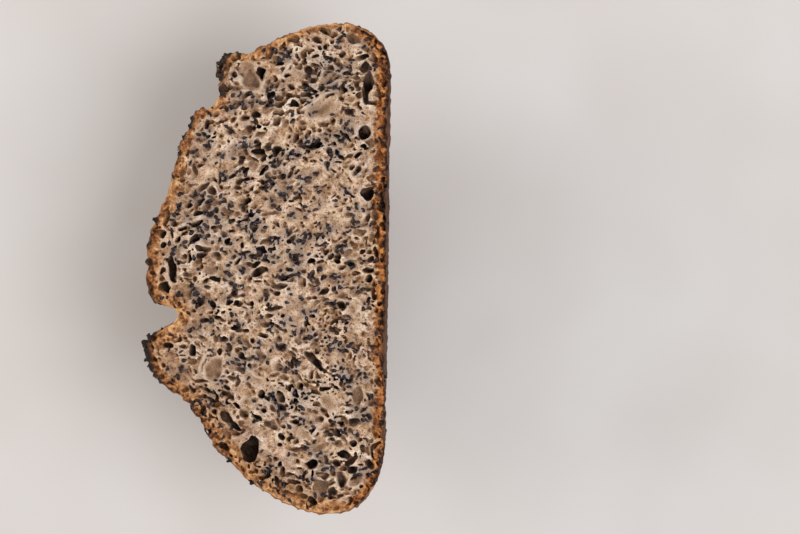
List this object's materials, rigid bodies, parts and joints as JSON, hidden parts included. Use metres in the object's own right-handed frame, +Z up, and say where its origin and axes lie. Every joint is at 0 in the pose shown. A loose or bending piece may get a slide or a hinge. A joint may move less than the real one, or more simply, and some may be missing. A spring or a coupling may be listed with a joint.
{
  "type": "half loaf of black sesame sourdough bread",
  "caption": "Half of a round seeded sourdough loaf, cut through the middle and lying with its open crumb up, with a scored lid and burnt ears on its crust.",
  "frame": {"origin": "centre of the bounding box's underside, on the surface that the half loaf lies on", "axes": "+Z up, out of the cut face; +Y along the length of the cut face; +X towards the base crust, so that the domed top faces -X"},
  "size_m": [0.11, 0.2218, 0.105],
  "materials": {
    "crumb": "open, soft, slightly moist bread crumb",
    "crust": "dry, blistered, dark baked crust",
    "sesame": "black sesame seed, slightly glossy"
  },
  "bodies": {
    "root": {"half_loaf": "crumb"}
  },
  "joints": []
}
